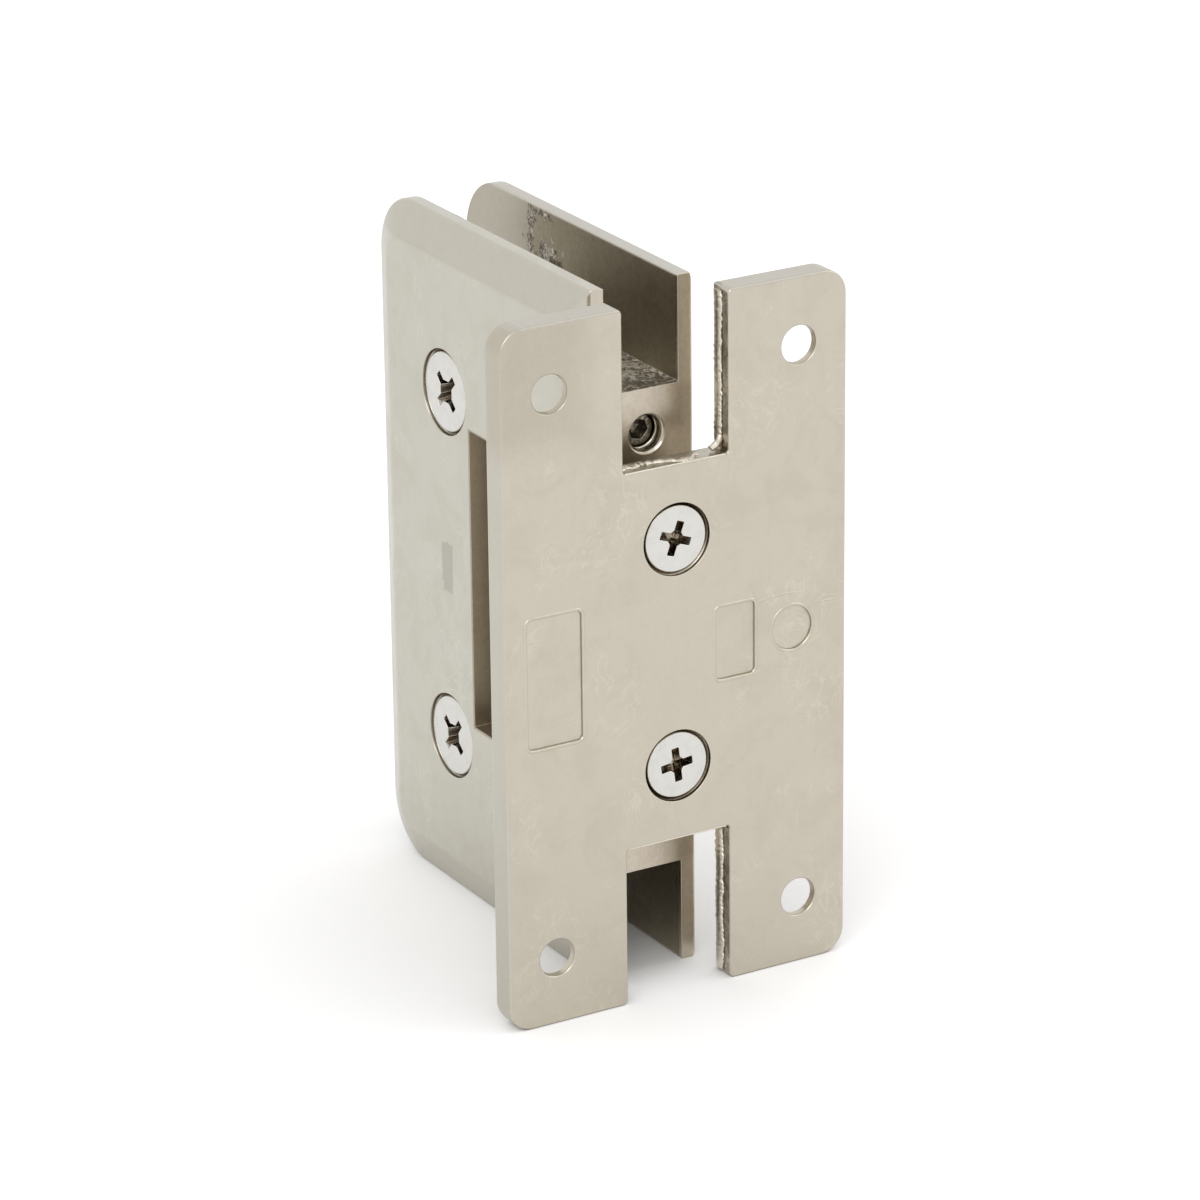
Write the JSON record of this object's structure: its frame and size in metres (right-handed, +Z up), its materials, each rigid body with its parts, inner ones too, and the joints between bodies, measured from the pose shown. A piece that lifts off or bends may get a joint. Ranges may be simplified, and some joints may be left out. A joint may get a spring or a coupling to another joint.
{
  "type": "glass door hinge",
  "caption": "Wall-mounted pivot hinge for a glass door: an H-shaped wall plate carries a pivot block, and a bevelled glass clamp swings on its pin with a roller detent.",
  "frame": {"origin": "centre of the wall plate's wall face", "axes": "+Y from the wall into the glass clamp, +Z up along the pivot pin, +X to the right seen from the wall"},
  "size_m": [0.0476, 0.0597, 0.089],
  "materials": {
    "satin_nickel": "cast brass with satin nickel plate, faintly mottled",
    "brushed_nickel": "brass with brushed nickel plate",
    "bright_nickel": "bright nickel plated steel",
    "ground_steel": "ground steel",
    "spring_steel": "oiled spring wire",
    "bronze": "sintered bronze",
    "nylon": "natural nylon"
  },
  "bodies": {
    "wall_side": {"wall_plate": "satin_nickel", "pivot_block": "satin_nickel", "block_screw_upper": "bright_nickel", "block_screw_lower": "bright_nickel", "bushing_upper": "bronze", "bushing_lower": "bronze", "thrust_washer_upper": "nylon", "thrust_washer_lower": "nylon", "detent_spring_upper": "spring_steel", "detent_spring_lower": "spring_steel", "detent_plunger_upper": "bronze", "detent_plunger_lower": "bronze"},
    "glass_side": {"clamp_body": "satin_nickel", "cover_plate": "brushed_nickel", "clamp_screw_upper": "bright_nickel", "clamp_screw_lower": "bright_nickel", "pivot_pin": "ground_steel", "pin_set_screw": "bright_nickel"},
    "upper_roller": {"detent_roller_upper": "ground_steel"},
    "lower_roller": {"detent_roller_lower": "ground_steel"}
  },
  "joints": [
    {"name": "door_swing", "type": "hinge", "parent": "wall_side", "child": "glass_side", "pos_m": [0, 0.024, 0], "axis": [0, 0, 1], "range_deg": [-90, 90]},
    {"name": "upper_roller_spin", "type": "hinge", "parent": "wall_side", "child": "upper_roller", "pos_m": [0, 0.01745, 0.006], "axis": [0, 0, 1], "range_deg": [-144, 144]},
    {"name": "lower_roller_spin", "type": "hinge", "parent": "wall_side", "child": "lower_roller", "pos_m": [0, 0.01745, -0.006], "axis": [0, 0, 1], "range_deg": [-144, 144]}
  ],
  "couplings": [
    {"joint": "upper_roller_spin", "follows": "door_swing", "ratio": -1.6},
    {"joint": "lower_roller_spin", "follows": "door_swing", "ratio": -1.6}
  ]
}
